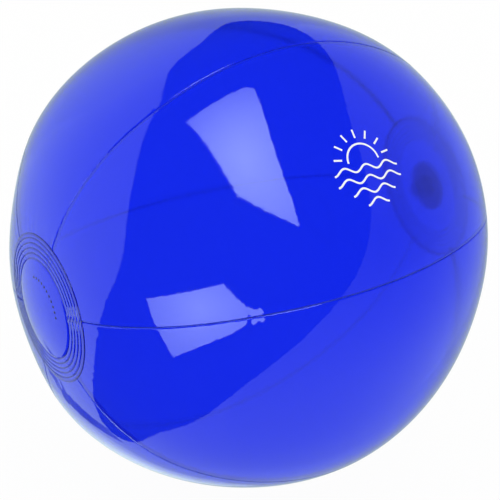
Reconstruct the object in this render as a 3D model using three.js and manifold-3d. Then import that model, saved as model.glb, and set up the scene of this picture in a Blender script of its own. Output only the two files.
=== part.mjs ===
// Inflatable beach ball: six welded film panels, two end discs and a push-in valve.
// Millimetres. The polar axis is X, with the plain disc at -X and the valve at +X. +Z is up,
// and the origin is the middle of the ball. Angles round X run from +Z towards -Y.
import * as THREE from 'three';
import { mergeVertices } from 'three/addons/utils/BufferGeometryUtils.js';
import Module from 'manifold-3d';

// Ball
const EQUATOR_RADIUS = 140;
const PANELS = 6;
const FIRST_SEAM_DEG = 12;
const FILM = 0.8;
const GAP = 0.4;

// The ball's departures from a sphere, as shares of the equator's radius
const POLE_FLATTENING = 0.057;
const POLE_SPREAD_DEG = 22;
const SHOULDER_FULLNESS = 0.013;
const SHOULDER_DEG = 44;
const SHOULDER_SPREAD_DEG = 17;
const SEAM_STAND_OUT = 0.0175;

// Places along a meridian, as angles from the pole
const DOME_DEG = 12.6;
const DISC_DEG = 18.7;

// Seam flange
const FLANGE_DEPTH = 3;
const FLANGE_THICK = 1;

// End discs
const WELD_RIDGES = 5;
const RIDGE_HEIGHT = 0.5;
const RIM_HEIGHT = 0.4;
const DOME_RISE = 1.5;
const VALVE_HOLE_RADIUS = 7.6;

// Valve, along its own axis from the rim of the stem, which is at 0
const RIM_ABOVE_DISC = 2.6;
const STEM_LENGTH = 13;
const STEM_RADIUS = 4.5;
const BORE_RADIUS = 3;
const VALVE_FLANGE_RADIUS = 15;
const WEB_FILM = 0.6;
const HEAD_RADIUS = 5;
const HEAD_THICK = 1.3;
const PLUG_RADIUS = 2.6;
const PLUG_TIP_RADIUS = 1.9;
const PLUG_LENGTH = 4;
const STRAP_WIDTH = 4;
const STRAP_THICK = 0.9;
const STRAP_FIXED_END = 6.4;
const STRAP_END = 8;
const FLAP_RADIUS = 3.8;
const FLAP_THICK = 0.7;

// Mesh fineness
const PANEL_ROWS = 26;
const PANEL_COLUMNS = 6;
const STEPS_PER_RIDGE = 4;
const DISC_SEGMENTS = 36;
const VALVE_SEGMENTS = 28;

const { degToRad: rad, lerp } = THREE.MathUtils;
const wasm = await Module();
wasm.setup();

const film = new THREE.MeshStandardMaterial({ color: 0x1a28e6, roughness: 0.12, metalness: 0 });
const moulding = new THREE.MeshStandardMaterial({ color: 0x2636dc, roughness: 0.3, metalness: 0 });

const ball = new THREE.Group();

function addPiece(name, geometry, material, parent = ball) {
  const mesh = new THREE.Mesh(geometry, material);
  mesh.name = name;
  parent.add(mesh);
}

// How far the skin is from the middle, at an angle from the nearer pole and one round the axis.
function skinRadius(fromPole, round) {
  const bump = (centre, spread) => Math.exp(-(((fromPole - rad(centre)) / rad(spread)) ** 2));
  const flattened = POLE_FLATTENING * bump(0, POLE_SPREAD_DEG);
  const full = SHOULDER_FULLNESS * bump(SHOULDER_DEG, SHOULDER_SPREAD_DEG);
  const ridged = SEAM_STAND_OUT * Math.cos(PANELS * (round - rad(FIRST_SEAM_DEG)));
  return EQUATOR_RADIUS * (1 - flattened + full + ridged * Math.sin(fromPole) ** 4);
}

// A point of the skin, or of a layer outside (+) or inside (-) it. along runs from the +X pole.
function skinPoint(along, round, offset = 0) {
  const length = skinRadius(Math.min(along, Math.PI - along), round) + offset;
  const out = length * Math.sin(along);
  return new THREE.Vector3(length * Math.cos(along), -out * Math.sin(round), out * Math.cos(round));
}

// A closed solid between two matching grids of points, joined all round their edges.
function slab(outer, inner) {
  const [rows, columns] = [outer.length, outer[0].length];
  const points = [...outer.flat(), ...inner.flat()];
  const index = [];
  const quad = (a, b, c, d) => index.push(a, b, c, a, c, d);
  const top = (i, j) => i * columns + j;
  const under = (i, j) => rows * columns + top(i, j);
  for (let i = 0; i + 1 < rows; i++) {
    for (let j = 0; j + 1 < columns; j++) {
      quad(top(i, j), top(i + 1, j), top(i + 1, j + 1), top(i, j + 1));
      quad(under(i, j), under(i, j + 1), under(i + 1, j + 1), under(i + 1, j));
    }
    quad(top(i + 1, 0), top(i, 0), under(i, 0), under(i + 1, 0));
    quad(top(i, columns - 1), top(i + 1, columns - 1), under(i + 1, columns - 1), under(i, columns - 1));
  }
  for (let j = 0; j + 1 < columns; j++) {
    quad(top(0, j), top(0, j + 1), under(0, j + 1), under(0, j));
    quad(top(rows - 1, j + 1), top(rows - 1, j), under(rows - 1, j), under(rows - 1, j + 1));
  }
  const geometry = new THREE.BufferGeometry().setFromPoints(points).setIndex(index);
  geometry.computeVertexNormals();
  return geometry;
}

// A grid of points on a layer. across(t, along) gives the angle round X of column t, from 0 to 1.
function layer(columns, across, offset) {
  const ends = rad(DOME_DEG + 0.3);
  return Array.from({ length: PANEL_ROWS + 1 }, (_, i) => {
    const along = lerp(ends, Math.PI - ends, i / PANEL_ROWS);
    return Array.from({ length: columns + 1 }, (_, j) => skinPoint(along, across(j / columns, along), offset));
  });
}

const seamAngle = (number) => rad(FIRST_SEAM_DEG + (360 / PANELS) * number);

// The angle round X that a width covers at this place along a meridian.
const widthAngle = (width, along) => width / (EQUATOR_RADIUS * Math.sin(along));

function panel(number) {
  const across = (t, along) => {
    const edge = widthAngle(GAP / 2, along);
    return lerp(seamAngle(number) + edge, seamAngle(number + 1) - edge, t);
  };
  return slab(layer(PANEL_COLUMNS, across, 0), layer(PANEL_COLUMNS, across, -FILM));
}

function seamFlange(number) {
  const across = (t, along) => seamAngle(number) + (2 * t - 1) * widthAngle(FLANGE_THICK / 2, along);
  const top = -FILM - GAP;
  return slab(layer(1, across, top), layer(1, across, top - FLANGE_DEPTH));
}

// A lathed solid about +X, from profile points of (radius, x).
function turned(profile, segments) {
  const points = profile.map(([radius, x]) => new THREE.Vector2(radius, x));
  return new THREE.LatheGeometry(points, segments).rotateZ(-Math.PI / 2);
}

// A point of a disc's under side, which lies on the panels' ends, as (radius, x).
function discPoint(fromPole) {
  const length = skinRadius(fromPole, rad(FIRST_SEAM_DEG + 90 / PANELS)) + GAP;
  return [length * Math.sin(fromPole), length * Math.cos(fromPole)];
}

// An end disc for +X. Its weld ridges run from the dome's edge to the rim.
function endDisc(holeRadius, rise) {
  const [domeRadius] = discPoint(rad(DOME_DEG));
  const lift = ([radius]) => (radius < domeRadius ? rise * (1 - (radius / domeRadius) ** 2) : 0);
  const holeAngle = rad(DOME_DEG) * (holeRadius / domeRadius);
  const inwards = [0, 0.25, 0.5, 0.75, 1].map((t) => lerp(rad(DISC_DEG), holeAngle, t));
  const domed = [0, 0.33, 0.67].map((t) => lerp(holeAngle, rad(DOME_DEG), t));
  const steps = WELD_RIDGES * STEPS_PER_RIDGE;
  const under = inwards.map(discPoint).map((p) => [p[0], p[1] + lift(p)]);
  const dome = domed.map(discPoint).map((p) => [p[0], p[1] + FILM + lift(p)]);
  const ridges = Array.from({ length: steps + 1 }, (_, i) => {
    const [radius, x] = discPoint(lerp(rad(DOME_DEG), rad(DISC_DEG), i / steps));
    const wave = (1 - Math.cos((2 * Math.PI * i) / STEPS_PER_RIDGE)) / 2;
    return [radius, x + FILM + (i === steps ? RIM_HEIGHT : RIDGE_HEIGHT * wave)];
  });
  const outline = [...under.reverse(), ...ridges.reverse(), ...dome.reverse()];
  return holeRadius ? [...outline, outline[0]] : outline;
}

const plainDisc = turned(endDisc(0, DOME_RISE), DISC_SEGMENTS).rotateY(Math.PI);
const valveDisc = turned(endDisc(VALVE_HOLE_RADIUS, 0), DISC_SEGMENTS);

// Where the valve end's surfaces are, along X
const [, discUnder] = discPoint(rad(DOME_DEG) * 0.3);
const stemRim = discUnder + FILM + RIM_ABOVE_DISC;
const stemFoot = stemRim - STEM_LENGTH;

function asSolid(geometry) {
  const bare = geometry.clone().deleteAttribute('normal').deleteAttribute('uv');
  const merged = mergeVertices(bare, 1e-4);
  const solid = new wasm.Mesh({
    numProp: 3,
    vertProperties: merged.attributes.position.array,
    triVerts: new Uint32Array(merged.index.array),
  });
  return new wasm.Manifold(solid);
}

function joined(first, second) {
  const { vertProperties, triVerts } = asSolid(first).add(asSolid(second)).getMesh();
  const geometry = new THREE.BufferGeometry();
  geometry.setAttribute('position', new THREE.BufferAttribute(vertProperties, 3));
  geometry.setIndex(new THREE.BufferAttribute(triVerts, 1));
  geometry.computeVertexNormals();
  return geometry;
}

// A bar of the strap, above the stem's axis, from one height to another.
function strapBar(fromHeight, toHeight, fromX, toX) {
  const bar = new THREE.BoxGeometry(toX - fromX, STRAP_WIDTH, toHeight - fromHeight);
  return bar.translate((fromX + toX) / 2, 0, (fromHeight + toHeight) / 2);
}

function valveFlange() {
  const [top, bottom] = [discUnder - 2 * GAP, discUnder - 2 * GAP - FILM];
  const inner = VALVE_HOLE_RADIUS - GAP;
  const corners = [[inner, bottom], [VALVE_FLANGE_RADIUS, bottom], [VALVE_FLANGE_RADIUS, top], [inner, top]];
  return turned([...corners, corners[0]], VALVE_SEGMENTS);
}

function valveWeb() {
  const [mouth, foot] = [VALVE_HOLE_RADIUS - 2 * GAP, STEM_RADIUS + GAP];
  const [high, low] = [discUnder - GAP - FILM, stemFoot + GAP];
  const corners = [[foot, low], [foot + WEB_FILM, low], [mouth, high], [mouth - WEB_FILM, high]];
  return turned([...corners, corners[0]], VALVE_SEGMENTS);
}

function valveStem() {
  const corners = [[BORE_RADIUS, stemFoot], [STEM_RADIUS, stemFoot], [STEM_RADIUS, stemRim], [BORE_RADIUS, stemRim]];
  const tube = turned([...corners, corners[0]], VALVE_SEGMENTS);
  const top = stemRim - GAP / 2;
  return joined(tube, strapBar((STEM_RADIUS + BORE_RADIUS) / 2, STRAP_FIXED_END, top - STRAP_THICK, top));
}

function valveStopper() {
  const seat = stemRim + GAP;
  const head = seat + HEAD_THICK;
  const profile = [
    [0, stemRim - PLUG_LENGTH],
    [PLUG_TIP_RADIUS, stemRim - PLUG_LENGTH],
    [PLUG_RADIUS, stemRim],
    [PLUG_RADIUS, seat],
    [HEAD_RADIUS - 0.3, seat],
    [HEAD_RADIUS, seat + 0.3],
    [HEAD_RADIUS, head - 0.4],
    [HEAD_RADIUS - 0.4, head],
    [0, head],
  ];
  const strap = strapBar(HEAD_RADIUS / 2, STRAP_END, seat + 0.1, seat + 0.1 + STRAP_THICK);
  return joined(turned(profile, VALVE_SEGMENTS), strap);
}

function checkFlap() {
  const top = stemFoot - GAP;
  const profile = [[0, top - FLAP_THICK], [FLAP_RADIUS, top - FLAP_THICK], [FLAP_RADIUS, top], [0, top]];
  return turned(profile, VALVE_SEGMENTS);
}

for (let number = 0; number < PANELS; number++) {
  addPiece(`panel_${number + 1}`, panel(number), film);
  addPiece(`seam_${number + 1}`, seamFlange(number), film);
}
addPiece('end_disc_plain', plainDisc, film);
addPiece('end_disc_valve', valveDisc, film);
addPiece('valve_flange', valveFlange(), moulding);
addPiece('valve_web', valveWeb(), moulding);
addPiece('valve_stem', valveStem(), moulding);
addPiece('valve_stopper', valveStopper(), moulding);
addPiece('check_flap', checkFlap(), moulding);

export default ball;
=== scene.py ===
"""Inflatable beach ball of see-through film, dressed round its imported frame.

Lengths are in metres unless a name says otherwise. The polar axis is X, with the plain end disc at -X
and the valve at +X. Angles round the axis run from +Z towards -Y, and angles along a meridian from +X.
"""

import logging
import math
from dataclasses import dataclass, field
from enum import Enum

import bmesh
import bpy
import numpy as np
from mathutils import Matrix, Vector


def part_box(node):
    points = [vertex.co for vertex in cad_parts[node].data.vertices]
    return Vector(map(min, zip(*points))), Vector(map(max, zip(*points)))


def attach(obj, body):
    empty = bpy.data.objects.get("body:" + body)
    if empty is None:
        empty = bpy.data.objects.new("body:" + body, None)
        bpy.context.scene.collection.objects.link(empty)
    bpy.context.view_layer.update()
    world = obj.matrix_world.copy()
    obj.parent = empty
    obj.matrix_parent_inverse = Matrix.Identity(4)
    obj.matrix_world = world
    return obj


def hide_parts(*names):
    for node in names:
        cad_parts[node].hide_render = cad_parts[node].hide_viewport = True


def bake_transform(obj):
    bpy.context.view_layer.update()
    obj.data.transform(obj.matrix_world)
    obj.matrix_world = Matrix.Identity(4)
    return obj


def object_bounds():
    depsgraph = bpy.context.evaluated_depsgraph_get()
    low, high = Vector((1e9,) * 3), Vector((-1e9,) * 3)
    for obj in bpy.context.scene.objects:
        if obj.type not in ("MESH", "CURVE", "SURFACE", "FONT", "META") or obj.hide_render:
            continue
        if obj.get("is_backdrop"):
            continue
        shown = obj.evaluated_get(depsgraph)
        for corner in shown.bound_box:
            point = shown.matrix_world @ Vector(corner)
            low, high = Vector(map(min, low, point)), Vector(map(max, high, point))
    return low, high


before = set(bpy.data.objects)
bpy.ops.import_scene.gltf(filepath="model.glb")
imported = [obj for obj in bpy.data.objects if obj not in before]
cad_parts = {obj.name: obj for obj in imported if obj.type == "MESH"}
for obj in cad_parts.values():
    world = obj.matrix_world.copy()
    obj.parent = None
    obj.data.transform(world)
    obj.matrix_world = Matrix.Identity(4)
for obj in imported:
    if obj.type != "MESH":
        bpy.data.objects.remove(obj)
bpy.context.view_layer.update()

log = logging.getLogger("beach_ball")

MM = 0.001
PANELS = 6
SHARP_DEGREES = 50
COOL_WHITE = (0.84, 1.0, 1.0, 1.0)


class End(Enum):
    """The two ends of the polar axis, as the sign of their X."""

    VALVE = 1
    PLAIN = -1


class Slot(Enum):
    """The record's material slots."""

    FILM = "blue_film"
    SEAM = "seam_weld"
    DISC = "disc_film"
    VALVE = "valve_moulding"


def linear(hex_colour: str) -> tuple[float, float, float, float]:
    """Turns an sRGB hex colour to linear light.

    Args:
        hex_colour: six hex digits, such as "1a2b3c".

    Returns:
        Red, green, blue and an alpha of 1.
    """
    shares = [int(hex_colour[i : i + 2], 16) / 255 for i in (0, 2, 4)]
    return (*(s / 12.92 if s <= 0.04045 else ((s + 0.055) / 1.055) ** 2.4 for s in shares), 1.0)


def direction(azimuth: float, elevation: float) -> np.ndarray:
    """Gives the unit vector towards a compass angle, from -Y towards +X, and a height, in degrees."""
    a, e = math.radians(azimuth), math.radians(elevation)
    return np.array([math.sin(a) * math.cos(e), -math.cos(a) * math.cos(e), math.sin(e)])


def add_node(
    tree: bpy.types.NodeTree,
    kind: str,
    settings: dict[str, object] | None = None,
    inputs: dict[str | int, object] | None = None,
) -> bpy.types.Node:
    """Adds a node with its settings and links.

    Args:
        tree: the node tree that gets the node.
        kind: Blender's name of the node's type.
        settings: attributes to set on the node.
        inputs: for each input socket's name or number, a value or the output socket that feeds it.

    Returns:
        The new node.
    """
    node = tree.nodes.new(kind)
    for name, value in (settings or {}).items():
        setattr(node, name, value)
    for name, value in (inputs or {}).items():
        if isinstance(value, bpy.types.NodeSocket):
            tree.links.new(value, node.inputs[name])
        else:
            node.inputs[name].default_value = value
    return node


def new_material(name: str) -> tuple[bpy.types.Material, bpy.types.NodeTree]:
    """Makes an empty node material.

    Args:
        name: what the finish is called.

    Returns:
        The material and its node tree.
    """
    material = bpy.data.materials.new(name)
    material.use_nodes = True
    material.node_tree.nodes.clear()
    return material, material.node_tree


def show(tree: bpy.types.NodeTree, shader: bpy.types.Node) -> None:
    """Links a shader to the material's output."""
    add_node(tree, "ShaderNodeOutputMaterial", inputs={"Surface": shader.outputs[0]})


def noise(tree: bpy.types.NodeTree, grain_mm: float, detail: float = 2.0) -> bpy.types.NodeSocket:
    """Adds a noise in the piece's own coordinates.

    Args:
        tree: the material's node tree.
        grain_mm: the distance from one blotch to the next.
        detail: how many finer layers the noise has.

    Returns:
        The noise's value socket.
    """
    place = add_node(tree, "ShaderNodeTexCoord").outputs["Object"]
    inputs = {"Vector": place, "Scale": 1 / (grain_mm * MM), "Detail": detail}
    return add_node(tree, "ShaderNodeTexNoise", inputs=inputs).outputs[0]


def ranged(
    tree: bpy.types.NodeTree, value: bpy.types.NodeSocket, span: tuple[float, float, float, float]
) -> bpy.types.NodeSocket:
    """Maps a value from one range to another.

    Args:
        tree: the material's node tree.
        value: the socket to map.
        span: the range it comes in and the range it goes out in, low before high.

    Returns:
        The mapped value's socket.
    """
    names = ("From Min", "From Max", "To Min", "To Max")
    inputs = {"Value": value, **dict(zip(names, span, strict=True))}
    return add_node(tree, "ShaderNodeMapRange", inputs=inputs).outputs[0]


@dataclass(frozen=True)
class CalenderedFilm:
    """Soft PVC sheet, rolled out between hot polished cylinders.

    Rolling leaves a mirror-like skin with a very slight waviness, so the eye sees crisp reflections over
    a deep blue that lets light through. Where two sheets are fused the blue goes darker, and the same
    darkening paints shade into the panels' folds along the seams.
    """

    name: str = "calendered_pvc_film"
    sheet_hex: str = "4e6af8"
    weld_and_fold_shade_hex: str = "1022b4"
    ior: float = 1.53
    polish: tuple[float, float] = (0.02, 0.05)
    inner_haze: float = 0.05
    handling_mm: float = 45.0
    waviness_mm: float = 4.5
    waviness_height_mm: float = 0.02

    def material(self) -> bpy.types.Material:
        """Makes the film's material. Its "fused" attribute darkens welded film and paints shade into the seam
        folds.
        """
        material, tree = new_material(self.name)
        fused = add_node(tree, "ShaderNodeAttribute", {"attribute_name": "fused"}).outputs["Fac"]
        # Darker where sheets are welded, and on the panels painted shade in the folds along the seams.
        blend = {0: fused, 6: linear(self.sheet_hex), 7: linear(self.weld_and_fold_shade_hex)}
        colour = add_node(tree, "ShaderNodeMix", {"data_type": "RGBA"}, blend).outputs[2]
        handled = noise(tree, self.handling_mm, detail=6)
        rough = ranged(tree, handled, (0.35, 0.7, *self.polish))
        inside = add_node(tree, "ShaderNodeAttribute", {"attribute_name": "inside"}).outputs["Fac"]
        hazy = {0: inside, 1: self.inner_haze, 2: rough}
        rough = add_node(tree, "ShaderNodeMath", {"operation": "MULTIPLY_ADD"}, hazy).outputs[0]
        lift = {
            "Height": noise(tree, self.waviness_mm, detail=4),
            "Distance": self.waviness_height_mm * MM,
            "Strength": 1.0,
        }
        relief = add_node(tree, "ShaderNodeBump", inputs=lift).outputs[0]
        surface = {
            "Base Color": colour,
            "Roughness": rough,
            "Normal": relief,
            "IOR": self.ior,
            "Transmission Weight": 1.0,
        }
        show(tree, add_node(tree, "ShaderNodeBsdfPrincipled", inputs=surface))
        return material


@dataclass(frozen=True)
class FusedSeam:
    """Two PVC sheets melted into one strip under a hot bar.

    The bar's pressure leaves a dense, slightly dull strip, darker than the sheets on both sides of it.
    """

    name: str = "fused_pvc_seam"
    hex: str = "3a50e8"
    ior: float = 1.53
    roughness: float = 0.15
    press_marks_mm: float = 1.6

    def material(self) -> bpy.types.Material:
        """Makes the seam strip's material."""
        material, tree = new_material(self.name)
        marks = noise(tree, self.press_marks_mm)
        relief = add_node(tree, "ShaderNodeBump", inputs={"Height": marks, "Distance": 0.05 * MM})
        surface = {
            "Base Color": linear(self.hex),
            "Roughness": self.roughness,
            "Normal": relief.outputs[0],
            "IOR": self.ior,
            "Transmission Weight": 1.0,
        }
        show(tree, add_node(tree, "ShaderNodeBsdfPrincipled", inputs=surface))
        return material


@dataclass(frozen=True)
class MouldedValve:
    """Injection-moulded soft PVC.

    A spark-eroded mould leaves a fine satin grain, so the valve looks cloudier and duller than the film.
    """

    name: str = "moulded_soft_pvc"
    hex: str = "94acff"
    ior: float = 1.53
    roughness: tuple[float, float] = (0.25, 0.36)
    grain_mm: float = 0.5

    def material(self) -> bpy.types.Material:
        """Makes the valve's material."""
        material, tree = new_material(self.name)
        grain = noise(tree, self.grain_mm)
        relief = add_node(tree, "ShaderNodeBump", inputs={"Height": grain, "Distance": 0.02 * MM})
        surface = {
            "Base Color": linear(self.hex),
            "Roughness": ranged(tree, noise(tree, 6.0), (0.3, 0.7, *self.roughness)),
            "Normal": relief.outputs[0],
            "IOR": self.ior,
            "Transmission Weight": 0.05,
        }
        show(tree, add_node(tree, "ShaderNodeBsdfPrincipled", inputs=surface))
        return material


@dataclass(frozen=True)
class ScreenInk:
    """Vinyl ink, pushed through a mesh screen.

    It dries as an opaque satin coat with a faint grain where the mesh's threads were.
    """

    name: str
    hex: str
    roughness: float = 0.4
    thread_mm: float = 0.8

    def material(self) -> bpy.types.Material:
        """Makes the ink's material. The screen's real threads lie 0.1 mm apart, too fine to show."""
        material, tree = new_material(self.name)
        tone = ranged(tree, noise(tree, self.thread_mm), (0.0, 1.0, 0.92, 1.0))
        blend = {0: tone, 6: (0, 0, 0, 1), 7: linear(self.hex)}
        colour = add_node(tree, "ShaderNodeMix", {"data_type": "RGBA"}, blend).outputs[2]
        relief = {"Height": noise(tree, self.thread_mm), "Distance": 0.01 * MM}
        surface = {
            "Base Color": colour,
            "Roughness": self.roughness,
            "Normal": add_node(tree, "ShaderNodeBump", inputs=relief).outputs[0],
        }
        show(tree, add_node(tree, "ShaderNodeBsdfPrincipled", inputs=surface))
        return material


@dataclass(frozen=True)
class Glow:
    """A lit diffuser, brightest in front of its bulb, or with no light a flag of dark cloth."""

    name: str
    hot: float
    edge: float
    tint: tuple[float, float, float, float] = COOL_WHITE

    def material(self, bulb: Vector, reach: float) -> bpy.types.Material:
        """Makes the light's material.

        Args:
            bulb: the brightest point.
            reach: how far from it the light has fallen to its edge value.

        Returns:
            The material.
        """
        material, tree = new_material(self.name)
        place = add_node(tree, "ShaderNodeTexCoord").outputs["Object"]
        away = add_node(tree, "ShaderNodeVectorMath", {"operation": "DISTANCE"}, {0: place, 1: bulb})
        strength = ranged(tree, away.outputs["Value"], (0.0, reach, self.hot, self.edge))
        show(tree, add_node(tree, "ShaderNodeEmission", inputs={"Color": self.tint, "Strength": strength}))
        return material


def linked(name: str, points: list, faces: list) -> bpy.types.Object:
    """Makes a mesh object from points and faces and links it to the scene."""
    mesh = bpy.data.meshes.new(name)
    mesh.from_pydata(points, [], faces)
    piece = bpy.data.objects.new(name, mesh)
    bpy.context.scene.collection.objects.link(piece)
    return piece


def mesh_piece(name: str, points: np.ndarray, faces: np.ndarray) -> bpy.types.Object:
    """Makes a smooth-shaded mesh object that keeps its sharp edges.

    Args:
        name: the piece's name.
        points: one row of three coordinates for each vertex.
        faces: one row of vertex numbers for each face.

    Returns:
        The linked object.
    """
    piece = linked(name, points.tolist(), faces.tolist())
    piece.data.validate()
    piece.data.shade_smooth()
    piece.data.set_sharp_from_angle(angle=math.radians(SHARP_DEGREES))
    return piece


def grid_faces(rows: int, columns: int, closed: bool, first: int = 0) -> np.ndarray:
    """Lists the quads of a grid of vertices, facing the side that sees rows by columns anticlockwise.

    Args:
        rows: how many rows of vertices there are.
        columns: how many vertices a row has.
        closed: True if each row runs back to its first vertex.
        first: the number of the grid's first vertex.

    Returns:
        One row of four vertex numbers for each quad.
    """
    i = np.arange(rows - 1)[:, None]
    j = np.arange(columns if closed else columns - 1)[None, :]
    right = (j + 1) % columns
    corners = (i * columns + j, (i + 1) * columns + j, (i + 1) * columns + right, i * columns + right)
    return first + np.stack([np.broadcast_to(c, (rows - 1, j.shape[1])) for c in corners], -1).reshape(-1, 4)


def rim_faces(outer: np.ndarray, inner: np.ndarray) -> np.ndarray:
    """Lists the quads between an edge's outer and inner vertices, which are in the same order."""
    return np.stack([outer[1:], outer[:-1], inner[:-1], inner[1:]], -1)


def sheet_normals(grid: np.ndarray, closed: bool) -> np.ndarray:
    """Works out the unit normals of a grid of points.

    Args:
        grid: points by row and column.
        closed: True if each row runs back to its first point.

    Returns:
        A normal for each point.
    """
    along = np.gradient(grid, axis=0)
    across = (np.roll(grid, -1, 1) - np.roll(grid, 1, 1)) / 2 if closed else np.gradient(grid, axis=1)
    normals = np.cross(along, across)
    return normals / np.maximum(np.linalg.norm(normals, axis=2, keepdims=True), 1e-12)


def film_piece(name: str, grid: np.ndarray, thickness: float | np.ndarray, closed: bool) -> bpy.types.Object:
    """Makes a closed solid of film, whose outer side is a grid of points.

    Args:
        name: the piece's name.
        grid: points by row and column, seen anticlockwise from outside.
        thickness: of the film, for the whole sheet or for each point.
        closed: True if each row runs back to its first point.

    Returns:
        The film as an object.
    """
    rows, columns = grid.shape[:2]
    count = rows * columns
    depth = np.broadcast_to(thickness, (rows, columns))[..., None]
    inner = grid - depth * sheet_normals(grid, closed)
    numbers = np.arange(count).reshape(rows, columns)
    if closed:
        numbers = np.hstack([numbers, numbers[:, :1]])
    edges = [numbers[0][::-1], numbers[-1]]
    if not closed:
        edges += [numbers[:, 0], numbers[::-1, -1]]
    outside = grid_faces(rows, columns, closed)
    inside = grid_faces(rows, columns, closed, count)[:, ::-1]
    rims = [rim_faces(edge, edge + count) for edge in edges]
    points = np.vstack([grid.reshape(-1, 3), inner.reshape(-1, 3)])
    return mesh_piece(name, points, np.vstack([outside, inside, *rims]))


def mark_weld_and_fold_shade(piece: bpy.types.Object, shares: np.ndarray) -> None:
    """Stores how far each outer point, and the inner point under it, is darkened, and which ones are inside.
    """
    # The darkening is the weld's on the discs, and painted shade in the seam folds on the panels.
    both = np.concatenate([shares.ravel(), shares.ravel()]).astype(np.float32)
    piece.data.attributes.new("fused", "FLOAT", "POINT").data.foreach_set("value", both)
    side = np.repeat(np.array([0, 1], np.float32), shares.size)
    piece.data.attributes.new("inside", "FLOAT", "POINT").data.foreach_set("value", side)


def mount(piece: bpy.types.Object, body: str, slot: Slot, material: bpy.types.Material, *nodes: str) -> None:
    """Dresses a piece, lets it ride on a body and stand for its CAD nodes, and reports it.

    Args:
        piece: the finished object.
        body: the CAD body that carries it.
        slot: the record's slot for its finish. It is not used.
        material: what it is made of.
        nodes: the CAD nodes that it stands for.
    """
    piece.data.materials.append(material)
    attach(piece, body)
    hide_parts(*nodes)
    log.info("%s: %d faces on %s", piece.name, len(piece.data.polygons), body)


@dataclass
class Skin:
    """The outer face of the blown-up ball, as its distance from the middle in each direction."""

    first_seam: float = math.radians(12)
    pole_flattening: float = 0.057
    pole_spread: float = math.radians(22)
    shoulder_fullness: float = 0.013
    shoulder: float = math.radians(44)
    shoulder_spread: float = math.radians(17)
    seam_stand_out: float = 0.0175
    settled: float = 0.49
    sag_mm: float = 0.12
    soft_spots: tuple[tuple[float, float, float, float], ...] = (
        (70, 20, 15, 3.0),
        (110, 45, 20, -1.5),
        (-165, 45, 25, -1.5),
        (-125, 10, 20, -3.5),
        (-100, -35, 20, 2.0),
        (-60, -55, 25, 2.0),
        (50, -20, 20, -1.0),
    )
    sag_waves: tuple[tuple[int, int], ...] = ((5, 3), (7, -4), (9, 5), (4, -7))
    equator: float = field(init=False)

    def __post_init__(self) -> None:
        """Takes the equator's radius from the farthest point of the frame's panels."""
        names = [f"panel_{n}" for n in range(1, PANELS + 1)]
        farthest = max(v.co.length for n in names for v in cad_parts[n].data.vertices)
        shoulder_there = self.fullness(np.array(math.pi / 2))
        self.equator = farthest / (shoulder_there + self.seam_stand_out)

    def fullness(self, from_pole: np.ndarray) -> np.ndarray:
        """Gives the radius as a share of the equator's, before the seams' stand-out."""
        flat = np.exp(-((from_pole / self.pole_spread) ** 2))
        full = np.exp(-(((from_pole - self.shoulder) / self.shoulder_spread) ** 2))
        return 1 - self.pole_flattening * flat + self.shoulder_fullness * full

    def radius(self, along: np.ndarray, round_: np.ndarray) -> np.ndarray:
        """Gives the skin's distance from the middle.

        Args:
            along: angles from the +X pole.
            round_: angles round the axis.

        Returns:
            The distances.
        """
        from_pole = np.minimum(along, math.pi - along)
        ridged = np.cos(PANELS * (round_ - self.first_seam)) * np.sin(from_pole) ** 4
        even = self.equator * (self.fullness(from_pole) + self.seam_stand_out * ridged)
        sag = sum(np.sin(m * along + n * round_ + m * n) for m, n in self.sag_waves)
        uneven = self.sag_mm * sag / len(self.sag_waves)
        away = np.sin(along)
        parts = (np.cos(along), -away * np.sin(round_), away * np.cos(round_))
        towards = np.stack(np.broadcast_arrays(*parts), -1)
        for azimuth, elevation, spread, rise in self.soft_spots:
            turned_away = np.degrees(np.arccos(np.clip(towards @ direction(azimuth, elevation), -1, 1)))
            uneven = uneven + rise * np.exp(-((turned_away / spread) ** 2))
        return even + MM * uneven * (1 - np.exp(-((from_pole / self.settled) ** 4)))

    def point(self, along: np.ndarray, round_: np.ndarray, offset: np.ndarray | float = 0.0) -> np.ndarray:
        """Gives points of the skin, or of a layer outside (+) or inside (-) it.

        Args:
            along: angles from the +X pole.
            round_: angles round the axis.
            offset: how far the layer is from the skin.

        Returns:
            The points, with their coordinates in the last dimension.
        """
        length = self.radius(along, round_) + offset
        out = length * np.sin(along)
        return np.stack([length * np.cos(along), -out * np.sin(round_), out * np.cos(round_)], -1)

    def seam(self, number: int) -> float:
        """Gives the angle round the axis of a seam, counted from 0."""
        return self.first_seam + number * 2 * math.pi / PANELS


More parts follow.
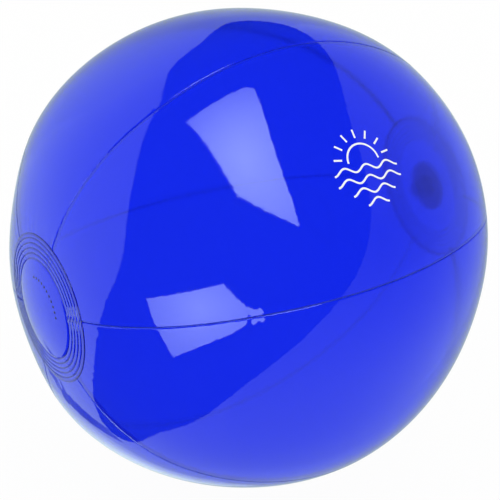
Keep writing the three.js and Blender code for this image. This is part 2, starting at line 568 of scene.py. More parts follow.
@dataclass
class Envelope:
    """The six gore panels and the fused strips between them."""

    skin: Skin
    dome_edge: float = math.radians(12.6)
    disc_edge: float = math.radians(18.7)
    under_disc_mm: float = 1.6
    film_mm: float = 0.25
    fold_radius_mm: float = 0.7
    # How dark the painted shade is at the bottom of a seam fold, partly the weld's darker film.
    fold_shade: float = 0.4
    seam_gap_mm: float = 0.06
    strip_depth_mm: float = 1.5
    strip_thick_mm: float = 0.5
    rows: int = 340
    fold_steps: int = 7
    near_steps: int = 12
    middle_steps: int = 26
    near_mm: float = 14.0
    pucker_count: int = 20
    pucker_height_mm: float = 0.16
    pucker_reach_mm: float = 5.0
    pucker_width_mm: float = 1.7
    tucks: tuple[tuple[int, float, float, float, float], ...] = (
        (0, 119, 4, -0.2, 1.5),
        (0, 122, 9, -0.1, 1.5),
        (1, 116, 3, 0.2, 2),
    )
    gather_height_mm: float = 0.09
    gather_reach_mm: float = 9.0
    gather_waves: tuple[int, ...] = (31, 47, 58)

    def meridian(self) -> np.ndarray:
        """Gives the angles from +X of a panel's rows. Its ends are melted into the discs' weld rings."""
        end = self.disc_edge - self.under_disc_mm * MM / self.skin.equator
        return np.linspace(end, math.pi - end, self.rows)

    def puckers(self, seam: int, along: np.ndarray, distance: np.ndarray) -> np.ndarray:
        """Gives the height of the small creases that a weld draws into the film on both sides of it.

        Args:
            seam: the seam's number.
            along: angles from the +X pole.
            distance: how far each point is from the seam.

        Returns:
            The heights.
        """
        draw = np.random.default_rng(100 + seam % PANELS)
        total = np.zeros_like(distance)
        for _ in range(self.pucker_count):
            place = math.pi * draw.beta(0.8, 0.8)
            tilt = draw.uniform(-0.5, 0.5)
            height = draw.uniform(-1, 0.6) * self.pucker_height_mm * MM
            reach = self.pucker_reach_mm * MM * draw.uniform(0.6, 1.4)
            beside = (along - place) * self.skin.equator + tilt * distance
            width = self.pucker_width_mm * MM
            total += height * np.exp(-((beside / width) ** 2) - (distance / reach) ** 2)
        for owner, place, centre, rise, width in self.tucks:
            if owner == seam:
                beside = (along - math.radians(place)) * self.skin.equator / (width * MM)
                total += rise * MM * np.exp(-(beside**2) - ((distance / MM - centre) / (1.6 * width)) ** 2)
        return total

    def gathers(self, along: np.ndarray, round_: np.ndarray) -> np.ndarray:
        """Gives the height of the fine folds that run out from under the end discs."""
        from_rim = (np.minimum(along, math.pi - along) - self.disc_edge) * self.skin.equator
        outside = np.clip(from_rim / (2 * MM), 0, 1)
        fade = outside * np.exp(-np.maximum(from_rim, 0) / (self.gather_reach_mm * MM))
        waves = sum(np.cos(n * round_ + n) for n in self.gather_waves) / len(self.gather_waves)
        return self.gather_height_mm * MM * fade * waves

    def columns(self, width: np.ndarray) -> tuple[np.ndarray, np.ndarray]:
        """Gives each column's distance from the panel's first seam and how deep it is folded in there.

        Args:
            width: the panel's width at each row.

        Returns:
            Distances and depths, by row and column.
        """
        fold, near = self.fold_radius_mm * MM, self.near_mm * MM
        turn = np.linspace(0, math.pi / 2, self.fold_steps)
        edge = np.concatenate([fold * (1 - np.cos(turn)), np.geomspace(fold, near, self.near_steps)[1:]])
        depth = np.concatenate([fold * (1 - np.sin(turn)), np.zeros(self.near_steps - 1)])
        shares = np.linspace(0, 1, self.middle_steps)[None, 1:-1]
        start = np.minimum(edge[None, :], width[:, None] / 2)
        middle = near + shares * (width[:, None] - 2 * near)
        distance = np.hstack([start, middle, width[:, None] - start[:, ::-1]])
        flat = np.zeros(self.middle_steps - 2)
        return distance, np.broadcast_to(np.concatenate([depth, flat, depth[::-1]]), distance.shape)

    def panel(self, number: int) -> bpy.types.Object:
        """Makes one gore panel, folded in along both seams.

        Args:
            number: the panel's number, from 0.

        Returns:
            The panel.
        """
        along = self.meridian()[:, None]
        start, end = self.skin.seam(number), self.skin.seam(number + 1)
        parallel = self.skin.radius(along, np.array([[start]])) * np.sin(along)
        gap = self.seam_gap_mm * MM
        width = (parallel * (end - start))[:, 0] - 2 * gap
        distance, depth = self.columns(width)
        round_ = start + (distance + gap) / parallel
        height = self.puckers(number, along, distance) + self.gathers(along, round_)
        height += self.puckers(number + 1, along, width[:, None] - distance)
        grid = self.skin.point(along, round_, height - depth)
        piece = film_piece(f"gore_panel_{number + 1}", grid, self.film_mm * MM, closed=False)
        # Paints shade into the folds along both seams, darkest where the film turns in deepest, partly the
        # weld's darker film.
        mark_weld_and_fold_shade(piece, self.fold_shade * depth / (self.fold_radius_mm * MM))
        return piece

    def strip(self, number: int) -> bpy.types.Object:
        """Makes the fused strip under one seam, with the slightly uneven edge that trimming leaves.

        Args:
            number: the seam's number, from 0.

        Returns:
            The strip.
        """
        along = self.meridian()
        seam = self.skin.seam(number)
        uneven = 1 + 0.08 * np.sin(37 * along + number) + 0.05 * np.sin(83 * along)
        top = np.full_like(along, (self.fold_radius_mm + 0.05) * MM)
        foot = top + self.strip_depth_mm * MM * uneven
        half = self.strip_thick_mm / 2 * MM / (self.skin.equator * np.sin(along))
        loop = [(half, top), (half, foot), (-half, foot), (-half, top)]
        grid = np.stack([self.skin.point(along, seam + side, -depth) for side, depth in loop], 1)
        faces = grid_faces(self.rows, len(loop), closed=True)[:, ::-1]
        last = (self.rows - 1) * len(loop)
        caps = np.array([[0, 1, 2, 3], [last + 3, last + 2, last + 1, last]])
        return mesh_piece(f"seam_strip_{number + 1}", grid.reshape(-1, 3), np.vstack([faces, caps]))

    def build(self, film: bpy.types.Material, fused: bpy.types.Material) -> None:
        """Makes and mounts every panel and strip.

        Args:
            film: the panels' material.
            fused: the strips' material.
        """
        for number in range(PANELS):
            mount(self.panel(number), "ball", Slot.FILM, film, f"panel_{number + 1}")
            mount(self.strip(number), "ball", Slot.SEAM, fused, f"seam_{number + 1}")


@dataclass
class EndDisc:
    """One of the round sheets that close the poles, pressed onto the panels' ends in five weld ridges."""

    envelope: Envelope
    end: End
    hole_mm: float
    dome_rise_mm: float
    groove_depth_mm: float
    ridges: int = 5
    ridge_steps: int = 18
    crowding: float = 0.11
    dome_steps: int = 36
    segments: int = 300
    film_mm: float = 0.3
    lift_mm: float = 0.35
    groove_width_mm: float = 0.38
    full_groove_mm: float = 0.42
    rim_round_mm: float = 0.35
    dark_rim_share: float = 0.88
    ripple_height_mm: float = 0.3
    ripple_reach_mm: float = 3.0
    mark_radius_mm: float = 5.0
    mark_width_mm: float = 0.35
    mark_height_mm: float = 0.12
    pole_share: float = 0.94

    def rows(self) -> np.ndarray:
        """Gives the angles from the pole of the disc's rows, out to its rim."""
        edge, rim = self.envelope.dome_edge, self.envelope.disc_edge
        hole = math.asin(self.hole_mm * MM / (self.envelope.skin.equator * self.pole_share))
        dome = np.linspace(max(hole, 0.002), edge, self.dome_steps)[:-1]
        steps = np.linspace(0, self.ridges, self.ridges * self.ridge_steps + 1)
        crowded = steps - self.crowding * np.sin(2 * math.pi * steps)
        return np.concatenate([dome, edge + (rim - edge) * crowded / self.ridges])

    def relief(self, from_pole: np.ndarray, round_: np.ndarray) -> tuple[np.ndarray, np.ndarray]:
        """Gives the disc's height over the skin, and how far its weld grooves fuse it to the panels.

        Args:
            from_pole: angles from the disc's own pole.
            round_: angles round the axis.

        Returns:
            The heights and the fused shares.
        """
        edge, rim = self.envelope.dome_edge, self.envelope.disc_edge
        share = (from_pole - edge) / (rim - edge)
        pitch = (rim - edge) / self.ridges
        nearest = edge + np.clip(np.round((from_pole - edge) / pitch), 0, self.ridges - 1) * pitch
        away = (from_pole - nearest) * self.envelope.skin.equator / (self.groove_width_mm * MM)
        groove = np.exp(-(away**2))
        seam = (round_ - self.envelope.skin.first_seam + math.pi / PANELS) % (2 * math.pi / PANELS)
        off_seam = (seam - math.pi / PANELS) * self.envelope.skin.equator * np.sin(from_pole)
        over_seam = np.exp(-((off_seam / (self.ripple_reach_mm * MM)) ** 2)) * (share > 0)
        ripple = over_seam * np.cos(off_seam / (0.7 * MM) + share * 2 * math.pi * self.ridges)
        dome = np.where(share < 0, 1 - (from_pole / edge) ** 2, 0)
        mark_edge = self.mark_radius_mm * MM / self.envelope.skin.equator
        beside = (from_pole - mark_edge) * self.envelope.skin.equator
        mark = np.exp(-((beside / (self.mark_width_mm * MM)) ** 2))
        height = self.lift_mm + self.dome_rise_mm * dome - self.groove_depth_mm * groove + 0 * round_
        height = height + self.ripple_height_mm * ripple * 0.5
        height = height + self.mark_height_mm * mark * (self.dome_rise_mm > 0)
        at_rim = np.clip((share - self.dark_rim_share) / (1 - self.dark_rim_share), 0, 1)
        groove = groove * self.groove_depth_mm / self.full_groove_mm
        return height * MM, np.clip(groove + at_rim + 0.1 * (share > 0) + 0 * round_, 0, 1)

    def build(self, film: bpy.types.Material) -> bpy.types.Object:
        """Makes and mounts the disc.

        Args:
            film: its material.

        Returns:
            The disc.
        """
        from_pole = self.rows()
        round_ = np.linspace(0, 2 * math.pi, self.segments, endpoint=False)[None, :]
        height, fused = self.relief(from_pole[:, None], round_)
        rounding = self.rim_round_mm * MM
        out = (self.envelope.disc_edge - from_pole)[:, None] * self.envelope.skin.equator
        near_rim = np.clip(1 - out / rounding, 0, 1)
        height = height - rounding * (1 - np.sqrt(1 - near_rim**2))
        along = from_pole if self.end is End.VALVE else math.pi - from_pole
        grid = self.envelope.skin.point(along[:, None], round_, height)
        if self.end is End.PLAIN:
            grid, fused = grid[:, ::-1], fused[:, ::-1]
        side = self.end.name.lower()
        piece = film_piece(f"disc_sheet_{side}", grid, self.film_mm * MM, closed=True)
        mark_weld_and_fold_shade(piece, fused)
        mount(piece, "ball", Slot.DISC, film, f"end_disc_{side}")
        return piece


def rounded(corners: list[tuple[float, float]], bevel: float, steps: int = 5) -> np.ndarray:
    """Rounds the corners of a closed outline.

    Args:
        corners: the outline's points, in order.
        bevel: how far from a corner its rounding starts, where the sides are long enough.
        steps: how many points each rounded corner has.

    Returns:
        The rounded outline's points.
    """
    points = np.array(corners, float)
    found = []
    for i, corner in enumerate(points):
        before, after = points[i - 1] - corner, points[(i + 1) % len(points)] - corner
        if abs(corner[0]) < 1e-9:
            found.append(corner)
            continue
        reach = [min(bevel, 0.45 * np.linalg.norm(side)) / np.linalg.norm(side) for side in (before, after)]
        start, end = corner + before * reach[0], corner + after * reach[1]
        for t in np.linspace(0, 1, steps):
            found.append((1 - t) ** 2 * start + 2 * t * (1 - t) * corner + t**2 * end)
    return np.array(found)


def turned(
    name: str, corners: list[tuple[float, float]], bevel: float, segments: int = 96
) -> bpy.types.Object:
    """Makes a solid of revolution about X.

    Args:
        name: the piece's name.
        corners: the section's outline, as (radius, x) points.
        bevel: the size of its rounded edges.
        segments: how many sides it has.

    Returns:
        The solid.
    """
    outline = rounded(corners, bevel)
    turn = np.linspace(0, 2 * math.pi, segments, endpoint=False)[None, :]
    radius, x = outline[:, :1], outline[:, 1:]
    grid = np.stack([x + 0 * turn, -radius * np.sin(turn), radius * np.cos(turn)], -1)
    faces = grid_faces(len(outline), segments, closed=True)
    if outline[:, 0].min() > 1e-9:
        wrap = grid_faces(2, segments, closed=True, first=(len(outline) - 1) * segments)
        faces = np.vstack([faces, wrap % (len(outline) * segments)])
    piece = mesh_piece(name, grid.reshape(-1, 3), faces)
    tidy_mesh(piece)
    return piece


def tidy_mesh(piece: bpy.types.Object) -> None:
    """Merges doubled points, drops faces without area and turns every face outwards."""
    work = bmesh.new()
    work.from_mesh(piece.data)
    bmesh.ops.remove_doubles(work, verts=work.verts, dist=1e-7)
    bmesh.ops.dissolve_degenerate(work, edges=work.edges, dist=1e-8)
    bmesh.ops.recalc_face_normals(work, faces=work.faces)
    work.to_mesh(piece.data)
    work.free()
    piece.data.shade_smooth()
    piece.data.set_sharp_from_angle(angle=math.radians(SHARP_DEGREES))


@dataclass
class Valve:
    """The push-in valve: flange, web, stem, stopper with its strap, and check flap."""

    material: bpy.types.Material
    edge: float = 0.3 * MM
    web_rings: int = 24
    web_film_mm: float = 0.5
    web_bulge_mm: float = 0.5
    ring_width_mm: float = 7.8
    web_lap_mm: float = 0.15
    hinge_width_mm: float = 2.2
    hinge_thick_mm: float = 0.8
    hinge_level_mm: float = 4.0
    strap_width_mm: float = 4.0
    strap_thick_mm: float = 0.8
    strap_steps: int = 28

    def flange(self) -> None:
        """Makes the flat ring that is welded to the inside of its disc."""
        low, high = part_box("valve_flange")
        outer, inner = high.y, high.y - self.ring_width_mm * MM
        corners = [(inner, low.x), (outer, low.x), (outer, high.x), (inner, high.x)]
        mount(turned("valve_ring", corners, self.edge), "ball", Slot.VALVE, self.material, "valve_flange")

    def web(self) -> None:
        """Makes the thin cone, lapped into the ring, in one shape; the real one turns inside out as the stem
        slides.
        """
        flange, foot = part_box("valve_flange"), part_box("valve_stem")
        film, narrow = self.web_film_mm * MM, foot[1].y + 0.02 * MM
        wide = flange[1].y - (self.ring_width_mm - self.web_lap_mm) * MM
        root = (flange[0].x + flange[1].x) / 2
        share = np.linspace(0, 1, self.web_rings)
        radius = wide + (narrow - wide) * share + self.web_bulge_mm * MM * np.sin(math.pi * share)
        x = root + (foot[0].x + 0.6 * MM - root) * share
        outside = list(zip(radius, x, strict=True))
        inside = [(r - film, place) for r, place in reversed(outside)]
        piece = turned("valve_web_cone", outside + inside, 0.05 * MM)
        piece.data.materials.append(self.material)
        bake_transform(piece)
        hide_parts("valve_web")
        log.info("%s bends between ball and stem", piece.name)

    def stem(self) -> None:
        """Makes the tube, with a bead round its mouth and a cut-off foot."""
        low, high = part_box("valve_stem")
        outer, bore, bead = high.y, 3.0 * MM, 0.35 * MM
        lip = high.x - 1.6 * MM
        corners = [(bore, low.x), (outer, low.x), (outer, lip - 0.5 * MM), (outer + bead, lip)]
        corners += [(outer + bead, high.x), (bore, high.x)]
        mount(turned("valve_tube", corners, self.edge), "stem", Slot.VALVE, self.material, "valve_stem")

    def stopper(self) -> None:
        """Makes the tapered plug with its round, slightly dished head."""
        low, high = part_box("valve_stopper")
        head, seat = high.y, high.x - 1.3 * MM
        neck, tip, dish = 2.6 * MM, 1.9 * MM, 0.35 * MM
        corners = [(0, low.x), (tip, low.x), (neck, seat - 0.4 * MM), (neck, seat), (head, seat)]
        corners += [(head, high.x), (head - 1.1 * MM, high.x), (head - 1.7 * MM, high.x - dish)]
        corners += [(0, high.x - dish)]
        plug = turned("stopper_plug", corners, self.edge)
        mount(plug, "stopper", Slot.VALVE, self.material, "valve_stopper")

    def strap(self) -> None:
        """Makes the folded strip between the stem's mouth and the stopper's head."""
        rim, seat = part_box("valve_stem")[1].x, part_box("valve_stopper")[1].x - 1.3 * MM
        lower, upper = rim - 0.65 * MM, seat + 0.65 * MM
        inner, reach = 4.4 * MM, 7.3 * MM
        bend = (upper - lower) / 2
        legs = self.strap_steps // 4
        turn = np.linspace(-math.pi / 2, math.pi / 2, self.strap_steps - 2 * legs)
        heights = [np.linspace(inner, reach, legs, endpoint=False), reach + bend * np.cos(turn)]
        places = [np.full(legs, lower), (lower + upper) / 2 + bend * np.sin(turn)]
        heights.append(np.linspace(reach, inner, legs + 1)[1:])
        places.append(np.full(legs, upper))
        line = np.stack([np.concatenate(places), np.concatenate(heights)], -1)
        piece = swept("stopper_strap", line, self.strap_width_mm * MM, self.strap_thick_mm * MM, self.edge)
        piece.data.materials.append(self.material)
        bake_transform(piece)
        log.info("%s bends between stem and stopper", piece.name)

    def flap(self) -> None:
        """Makes the round flap under the stem."""
        low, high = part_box("check_flap")
        corners = [(0, low.x), (high.y, low.x), (high.y, high.x), (0, high.x)]
        mount(turned("flap_disc", corners, 0.15 * MM), "flap", Slot.VALVE, self.material, "check_flap")

    def hinge(self) -> None:
        """Makes the thin moulded hinge between the stem's foot and the flap's edge."""
        foot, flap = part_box("valve_stem")[0].x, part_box("check_flap")
        x = np.linspace(foot + 0.4 * MM, flap[0].x + 0.1 * MM, 12)
        line = np.stack([x, np.full_like(x, -self.hinge_level_mm * MM)], -1)
        piece = swept("flap_hinge", line, self.hinge_width_mm * MM, self.hinge_thick_mm * MM, 0.15 * MM)
        piece.data.materials.append(self.material)
        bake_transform(piece)
        log.info("%s bends between stem and flap", piece.name)

    def build(self) -> None:
        """Makes the valve's pieces and mounts the flange, stem, stopper and flap."""
        self.flange()
        self.web()
        self.stem()
        self.stopper()
        self.strap()
        self.flap()
        self.hinge()


def swept(name: str, line: np.ndarray, width: float, thickness: float, edge: float) -> bpy.types.Object:
    """Makes a strip with rounded edges along a line.

    Args:
        name: the piece's name.
        line: the strip's middle, as (x, z) points.
        width: its width, along Y.
        thickness: its thickness, across the line.
        edge: the size of its rounded edges.

    Returns:
        The strip.
    """
    tangent = np.gradient(line, axis=0)
    normal = np.stack([-tangent[:, 1], tangent[:, 0]], -1)
    normal /= np.linalg.norm(normal, axis=1, keepdims=True)
    w, t = width / 2, thickness / 2
    section = rounded([(-w, -t), (w, -t), (w, t), (-w, t)], edge)
    across, out = section[None, :, 0], section[None, :, 1]
    grid = np.stack(
        [line[:, :1] + normal[:, :1] * out, across + 0 * line[:, :1], line[:, 1:] + normal[:, 1:] * out], -1
    )
    count = len(section)
    faces = [tuple(face) for face in grid_faces(len(line), count, closed=True)]
    last = (len(line) - 1) * count
    faces += [tuple(range(count)), tuple(range(last + count - 1, last - 1, -1))]
    return strip_mesh(name, grid.reshape(-1, 3), faces)


def strip_mesh(name: str, points: np.ndarray, faces: list[tuple[int, ...]]) -> bpy.types.Object:
    """Makes a mesh object whose faces don't all have the same number of corners.

    Args:
        name: the piece's name.
        points: one row of three coordinates for each vertex.
        faces: each face's vertex numbers.

    Returns:
        The linked object.
    """
    piece = linked(name, points.tolist(), faces)
    tidy_mesh(piece)
    return piece


@dataclass
class DottedArc:
    """A plain row of small ink dots near the middle of the plain disc."""

    skin: Skin
    ink: bpy.types.Material
    surface: bpy.types.Object
    from_pole: float = math.radians(8.2)
    start: float = math.radians(-20)
    end: float = math.radians(75)
    count: int = 11
    dot_mm: float = 0.8
    coat_mm: float = 0.06
    sides: int = 20

    def build(self) -> None:
        """Lays the dots on the disc and mounts them as one piece."""
        points, faces = [], []
        across = math.pi - self.from_pole
        for place in np.linspace(self.start, self.end, self.count):
            ray = self.skin.point(np.array(across), np.array(place))
            ray = Vector(ray).normalized()
            found, spot, normal, _ = self.surface.ray_cast(ray * 0.3, -ray)
            if not found:
                continue
            side = normal.orthogonal().normalized()
            other = normal.cross(side)
            first = len(points)
            turns = [2 * math.pi * k / self.sides for k in range(self.sides)]
            for lift, radius in ((0.01, self.dot_mm), (0.01 + self.coat_mm, self.dot_mm * 0.85)):
                for turn in turns:
                    out = side * math.cos(turn) + other * math.sin(turn)
                    points.append(spot + (out * radius + normal * lift) * MM)
            low = list(range(first, first + self.sides))
            high = [number + self.sides for number in low]
            faces += [tuple(reversed(low)), tuple(high)]
            faces += [(low[k - 1], low[k], high[k], high[k - 1]) for k in range(self.sides)]
        piece = strip_mesh("ink_dot_row", np.array([point[:] for point in points]), faces)
        piece.data.materials.append(self.ink)
        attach(piece, "ball")
        log.info("%s: %d faces on ball", piece.name, len(piece.data.polygons))


@dataclass
class Print:
    """A plain sun over three waves, screened onto the skin in lines of ink."""

    skin: Skin
    ink: bpy.types.Material
    along: float = math.radians(83.6)
    round_: float = math.radians(46.4)
    slant: float = math.radians(-3)
    line_mm: float = 1.1
    coat_mm: float = 0.06
    clearance_mm: float = 0.02
    step_mm: float = 0.7
    horizon_mm: float = 4.5
    sun_radius_mm: float = 10.0
    ray_count: int = 7
    ray_span: tuple[float, float] = (1.35, 1.85)
    wave_length_mm: float = 14.0
    wave_height_mm: float = 1.7
    wave_pitch_mm: float = 6.4
    wave_crests: tuple[int, ...] = (3, 3, 2, 1)

    def place(self, line: np.ndarray, lift: float) -> np.ndarray:
        """Lays flat points on the skin.

        Args:
            line: points as (right, up) from the print's middle.
            lift: how far over the skin they lie.

        Returns:
            The points in space.
        """
        cos, sin = math.cos(self.slant), math.sin(self.slant)
        right, up = line[:, 0] * cos - line[:, 1] * sin, line[:, 0] * sin + line[:, 1] * cos
        along = self.along - right / self.skin.equator
        round_ = self.round_ - up / (self.skin.equator * math.sin(self.along))
        return self.skin.point(along, round_, lift)

    def stroke(self, line: np.ndarray) -> tuple[np.ndarray, np.ndarray]:
        """Turns a flat line into a thin raised ribbon on the skin.

        Args:
            line: points as (right, up), in metres.

        Returns:
            The ribbon's points and faces.
        """
        tangent = np.gradient(line, axis=0)
        tangent /= np.linalg.norm(tangent, axis=1, keepdims=True)
        side = np.stack([-tangent[:, 1], tangent[:, 0]], -1) * self.line_mm / 2 * MM
        low, high = self.clearance_mm * MM, (self.clearance_mm + self.coat_mm) * MM
        edges = [(side, low), (side * 0.9, high), (-side * 0.9, high), (-side, low)]
        grid = np.stack([self.place(line + shift, lift) for shift, lift in edges], 1)
        rows = len(line)
        last = (rows - 1) * 4
        ends = np.array([[3, 2, 1, 0], [last, last + 1, last + 2, last + 3]])
        return grid.reshape(-1, 3), np.vstack([grid_faces(rows, 4, closed=True), ends])

    def lines(self) -> list[np.ndarray]:
        """Draws the sun, its rays and the waves as flat lines."""
        sun, horizon = self.sun_radius_mm * MM, self.horizon_mm * MM
        arc = np.linspace(0.0, math.pi, 48)
        drawn = [np.stack([sun * np.cos(arc), horizon + sun * np.sin(arc)], -1)]
        for turn in np.linspace(0.06, 0.94, self.ray_count) * math.pi:
            reach = np.linspace(*self.ray_span, 12)[:, None] * sun
            drawn.append(reach * np.array([[math.cos(turn), math.sin(turn)]]) + [0, horizon])
        for number, crests in enumerate(self.wave_crests):
            level = horizon - (number + 0.6) * self.wave_pitch_mm * MM
            width = crests * self.wave_length_mm * MM
            across = np.linspace(-width / 2, width / 2, int(width / (self.step_mm * MM)))
            phase = 2 * math.pi * (across + width / 2) / (self.wave_length_mm * MM)
            rise = -self.wave_height_mm * MM * np.cos(phase)
            drawn.append(np.stack([across, level + rise], -1))
        return drawn

    def build(self) -> None:
        """Makes and mounts the print as one piece."""
        points, faces, first = [], [], 0
        for line in self.lines():
            ribbon, quads = self.stroke(line)
            points.append(ribbon)
            faces.append(quads + first)
            first += len(ribbon)
        piece = mesh_piece("ink_sun_and_waves", np.vstack(points), np.vstack(faces))
        tidy_mesh(piece)
        piece.data.materials.append(self.ink)
        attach(piece, "ball")
        log.info("%s: %d faces on ball", piece.name, len(piece.data.polygons))


def smooth_loop(corners: np.ndarray, steps: int) -> np.ndarray:
    """Runs a smooth closed curve through points.

    Args:
        corners: the points, in order.
        steps: how many points of the curve there are from one corner to the next.

    Returns:
        The curve's points.
    """
    after = np.roll(corners, -1, 0)
    slope = (after - np.roll(corners, 1, 0)) / 2
    slope_after = np.roll(slope, -1, 0)
    t = np.linspace(0, 1, steps, endpoint=False)[None, :, None]
    start, end = (2 * t**3 - 3 * t**2 + 1), (3 * t**2 - 2 * t**3)
    leave, arrive = (t**3 - 2 * t**2 + t), (t**3 - t**2)
    places = start * corners[:, None] + end * after[:, None]
    bends = leave * slope[:, None] + arrive * slope_after[:, None]
    return (places + bends).reshape(-1, corners.shape[1])


def straight_loop(corners: np.ndarray, steps: int) -> np.ndarray:
    """Runs straight sides from each point to the next and back to the first.

    Args:
        corners: the points, in order.
        steps: how many points each side has.

    Returns:
        The points on the sides.
    """
    t = np.linspace(0, 1, steps, endpoint=False)[None, :, None]
    sides = (1 - t) * corners[:, None] + t * np.roll(corners, -1, 0)[:, None]
    return sides.reshape(-1, corners.shape[1])


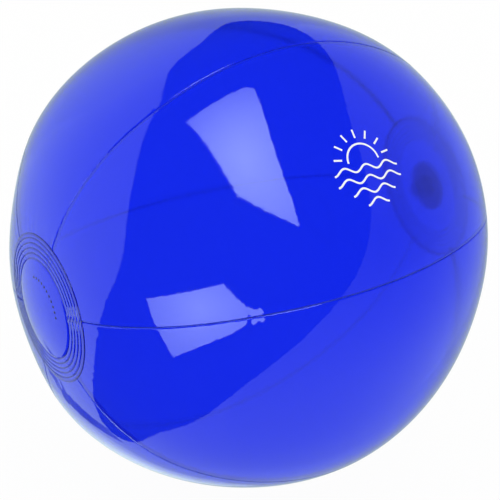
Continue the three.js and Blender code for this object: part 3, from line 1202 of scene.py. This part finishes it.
@dataclass
class Studio:
    """The white tent round the ball, its dark front, two window-shaped lamps, the floor and the camera."""

    middle: Vector
    floor_level: float
    ball_radius: float
    tent_glow: tuple[float, float] = (0.5, 1.0)
    bright_side: tuple[float, float] = (-110, 0)
    backdrop: float = 1.0
    flag_distance: float = 2.2
    lamp_distance: float = 2.0
    lens_mm: float = 154.8
    distance_radii: float = 9.0
    azimuth: float = -31.5
    elevation: float = 31.5
    aim_right_mm: float = 2.9
    aim_down_mm: float = 3.4
    card_rings: int = 24
    card_side_steps: int = 12
    dark_front: tuple[tuple[float, float], ...] = (
        (150, 10),
        (160, 25),
        (180, 40),
        (-150, 55),
        (-100, 40),
        (-95, 5),
        (-150, -55),
        (-90, -60),
        (-40, -50),
        (0, -10),
        (30, 25),
        (70, 45),
        (120, 35),
    )
    top_lamp: tuple[tuple[float, float], ...] = ((-110, 70), (130, 80), (105, 80), (0, 45), (-30, 55))
    side_lamp: tuple[tuple[float, float], ...] = (
        (-80, 0),
        (-40, 20),
        (-25, 0),
        (-35, -10),
        (-65, -25),
        (-75, -10),
    )
    grey_side: tuple[tuple[float, float], ...] = (
        (0, 88),
        (-30, 30),
        (-30, -25),
        (-35, -60),
        (20, -75),
        (80, -50),
        (120, -20),
        (140, 10),
        (150, 60),
    )
    dark_strip: tuple[tuple[float, float], ...] = ((-150, -55), (-165, -40), (-170, -45), (-155, -60))
    low_glow: tuple[tuple[float, float], ...] = (
        (175, -40),
        (-170, -45),
        (-165, -60),
        (160, -70),
        (145, -60),
        (160, -40),
    )
    dim_back: tuple[tuple[float, float], ...] = (
        (125, -20),
        (135, 15),
        (170, 40),
        (-165, 20),
        (-170, -10),
        (160, -30),
    )

    def only_reflected(self, piece: bpy.types.Object) -> None:
        """Lets a piece be seen in reflections and nowhere else."""
        for kind in ("camera", "diffuse", "transmission", "volume_scatter", "shadow"):
            setattr(piece, f"visible_{kind}", False)

    def card(
        self,
        glow: Glow,
        outline: tuple[tuple[float, float], ...],
        middle: tuple[float, float],
        distance: float,
        curved: bool = False,
    ) -> None:
        """Hangs a card round the ball, curved so that all of it is as far away, seen only as a reflection.

        Args:
            glow: how it shines.
            outline: its corners, as compass angles and heights in degrees.
            middle: the angles of its hub, in front of its bulb.
            distance: how far it is from the ball's middle.
            curved: True if its edge runs smoothly through the corners, and False for straight sides.
        """
        corners = np.array([direction(*corner) for corner in outline])
        edge = (smooth_loop if curved else straight_loop)(corners, self.card_side_steps)
        edge /= np.linalg.norm(edge, axis=1, keepdims=True)
        hub = direction(*middle)
        angle = np.arccos(np.clip(edge @ hub, -1, 1))[None, :, None]
        share = np.linspace(0.02, 1, self.card_rings)[:, None, None]
        dome = (np.sin((1 - share) * angle) * hub + np.sin(share * angle) * edge) / np.sin(angle)
        count = len(edge)
        points = np.array(self.middle) + distance * dome.reshape(-1, 3)
        faces = [tuple(face) for face in grid_faces(self.card_rings, count, closed=True)]
        faces.append(tuple(range(count)))
        piece = linked(glow.name, points.tolist(), faces)
        piece.data.materials.append(glow.material(Vector(hub * distance), float(angle.max()) * distance))
        self.only_reflected(piece)
        piece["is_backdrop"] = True

    def tent(self) -> None:
        """Lights everything evenly with white, which is a little dimmer where it is mirrored."""
        world = bpy.data.worlds.new("white_tent")
        bpy.context.scene.world = world
        world.use_nodes = True
        tree = world.node_tree
        tree.nodes.clear()
        place = add_node(tree, "ShaderNodeTexCoord").outputs["Generated"]
        towards = Vector(direction(*self.bright_side))
        lean = add_node(tree, "ShaderNodeVectorMath", {"operation": "DOT_PRODUCT"}, {0: place, 1: towards})
        dim = ranged(tree, lean.outputs["Value"], (-1.0, 1.0, *self.tent_glow))
        mirrored = add_node(tree, "ShaderNodeLightPath").outputs["Is Glossy Ray"]
        cool = {0: mirrored, 6: (1, 1, 1, 1), 7: COOL_WHITE}
        colour = add_node(tree, "ShaderNodeMix", {"data_type": "RGBA"}, cool).outputs[2]
        level = {0: mirrored, 2: self.backdrop, 3: dim}
        strength = add_node(tree, "ShaderNodeMix", inputs=level).outputs[0]
        sky = add_node(tree, "ShaderNodeBackground", inputs={"Color": colour, "Strength": strength})
        add_node(tree, "ShaderNodeOutputWorld", inputs={"Surface": sky.outputs[0]})

    def floor(self) -> None:
        """Lays a plain pale floor, lit from within so that the ball's shadow stays faint."""
        material, tree = new_material("pale_sweep")
        paper = add_node(tree, "ShaderNodeBsdfDiffuse", inputs={"Color": (0.9, 0.9, 0.9, 1)})
        glow = add_node(tree, "ShaderNodeEmission", inputs={"Strength": 1.0})
        mix = add_node(tree, "ShaderNodeMixShader", inputs={0: 0.97, 1: paper.outputs[0], 2: glow.outputs[0]})
        show(tree, mix)
        half = 40 * self.ball_radius
        corners = [(-half, -half), (half, -half), (half, half), (-half, half)]
        piece = linked("floor", [(x, y, self.floor_level) for x, y in corners], [(0, 1, 2, 3)])
        piece.data.materials.append(material)
        piece.visible_glossy = False
        piece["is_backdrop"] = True

    def camera(self) -> None:
        """Sets a long lens high at the front left, with the ball just off the middle of the frame."""
        data = bpy.data.cameras.new("camera")
        data.lens = self.lens_mm
        data.sensor_width = 36
        data.clip_start, data.clip_end = 0.01, 100
        camera = bpy.data.objects.new("camera", data)
        bpy.context.scene.collection.objects.link(camera)
        back = Vector(direction(self.azimuth, self.elevation))
        camera.location = self.middle + back * self.distance_radii * self.ball_radius
        right = Vector((0, 0, 1)).cross(back).normalized()
        down = right.cross(back)
        aim = self.middle + right * self.aim_right_mm * MM + down * self.aim_down_mm * MM
        camera.rotation_euler = (aim - camera.location).to_track_quat("-Z", "Y").to_euler()
        bpy.context.scene.camera = camera

    def build(self) -> None:
        """Sets the whole studio up."""
        self.tent()
        self.floor()
        flag, lamp = self.flag_distance, self.lamp_distance
        self.card(Glow("dark_front", 0.0, 0.0), self.dark_front, (-45, 25), flag, curved=True)
        self.card(Glow("dark_strip", 0.1, 0.3), self.dark_strip, (-160, -50), flag)
        self.card(Glow("low_glow", 1.5, 0.9), self.low_glow, (170, -55), flag)
        self.card(Glow("grey_side", 0.27, 0.82), self.grey_side, (40, 25), flag + 0.2)
        self.card(Glow("dim_back", 0.4, 0.85), self.dim_back, (155, 5), flag + 0.4)
        self.card(Glow("top_lamp", 6.8, 2.4), self.top_lamp, (-20, 65), lamp)
        self.card(Glow("side_lamp", 5.4, 2.8), self.side_lamp, (-50, 5), lamp)
        self.camera()
        view = bpy.context.scene.view_settings
        view.view_transform = "Standard"
        view.look = "None"


def main() -> None:
    """Builds the ball's sub-assemblies in order, then the studio round them."""
    logging.basicConfig(level=logging.INFO, format="%(message)s")
    skin = Skin()
    log.info("equator radius %.1f mm", skin.equator / MM)
    film = CalenderedFilm().material()
    envelope = Envelope(skin)
    envelope.build(film, FusedSeam().material())
    plain_disc = EndDisc(envelope, End.PLAIN, hole_mm=0.0, dome_rise_mm=3.0, groove_depth_mm=0.42).build(film)
    DottedArc(skin, ScreenInk("dark_vinyl_ink", "1a2060").material(), plain_disc).build()
    EndDisc(envelope, End.VALVE, hole_mm=7.6, dome_rise_mm=0.0, groove_depth_mm=0.16).build(film)
    Valve(MouldedValve().material()).build()
    Print(skin, ScreenInk("white_vinyl_ink", "ffffff").material()).build()
    low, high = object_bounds()
    Studio(Vector((0, 0, 0)), low.z - 0.2 * MM, skin.equator).build()


if __name__ == "__main__":
    main()
